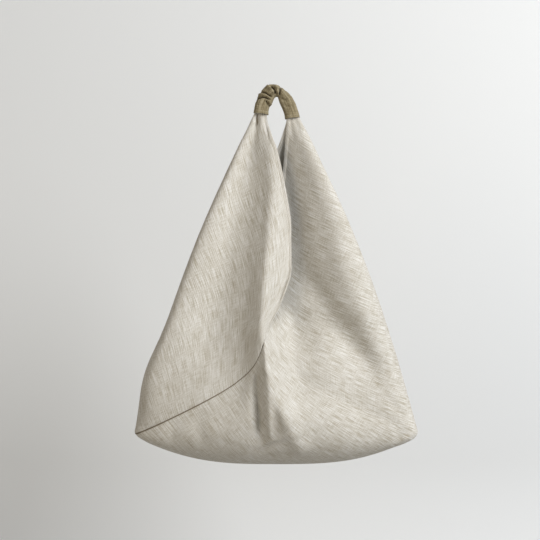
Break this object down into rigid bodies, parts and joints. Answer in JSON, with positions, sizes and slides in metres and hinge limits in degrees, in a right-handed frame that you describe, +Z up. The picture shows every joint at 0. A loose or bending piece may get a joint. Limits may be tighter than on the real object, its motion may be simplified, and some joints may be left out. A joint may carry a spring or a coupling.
{
  "type": "knot bag",
  "caption": "Soft linen knot bag with a square base and two folded peaks that lap over each other and tuck into the cuffs of a gathered handle loop.",
  "frame": {"origin": "seat under the handle's crown, where a hook or peg carries the bag", "axes": "+Z up, +X to the right of the front, +Y from the front to the back"},
  "size_m": [0.4952, 0.2116, 0.667],
  "materials": {
    "body_linen": "natural slubbed linen, matt",
    "hem_linen": "natural slubbed linen, matt, folded double",
    "handle_linen": "khaki linen, matt, gathered"
  },
  "bodies": {
    "handle": {"handle_crown": "handle_linen", "left_cuff": "handle_linen", "right_cuff": "handle_linen", "left_tip_bundle": "body_linen", "right_tip_bundle": "body_linen"},
    "bag": {"left_peak_panel": "body_linen", "right_peak_panel": "body_linen", "base_panel": "body_linen", "right_front_hem": "hem_linen", "left_back_hem": "hem_linen", "front_seam_fell": "hem_linen", "back_seam_fell": "hem_linen"},
    "front_lip": {"front_lip": "body_linen", "front_lip_hem": "hem_linen"},
    "back_lip": {"back_lip": "body_linen", "back_lip_hem": "hem_linen"}
  },
  "joints": [
    {"name": "bag_swing", "type": "hinge", "parent": "handle", "child": "bag", "pos_m": [0, 0, -0.04], "axis": [0.9899, 0, -0.1414], "range_deg": [-35, 35]},
    {"name": "front_lip_open", "type": "hinge", "parent": "bag", "child": "front_lip", "pos_m": [-0.01, -0.025, -0.098], "axis": [-0.0551, -0.2141, -0.9752], "range_deg": [0, 60]},
    {"name": "back_lip_open", "type": "hinge", "parent": "bag", "child": "back_lip", "pos_m": [0.01, 0.025, -0.098], "axis": [0.0551, 0.2141, -0.9752], "range_deg": [0, 60]}
  ]
}
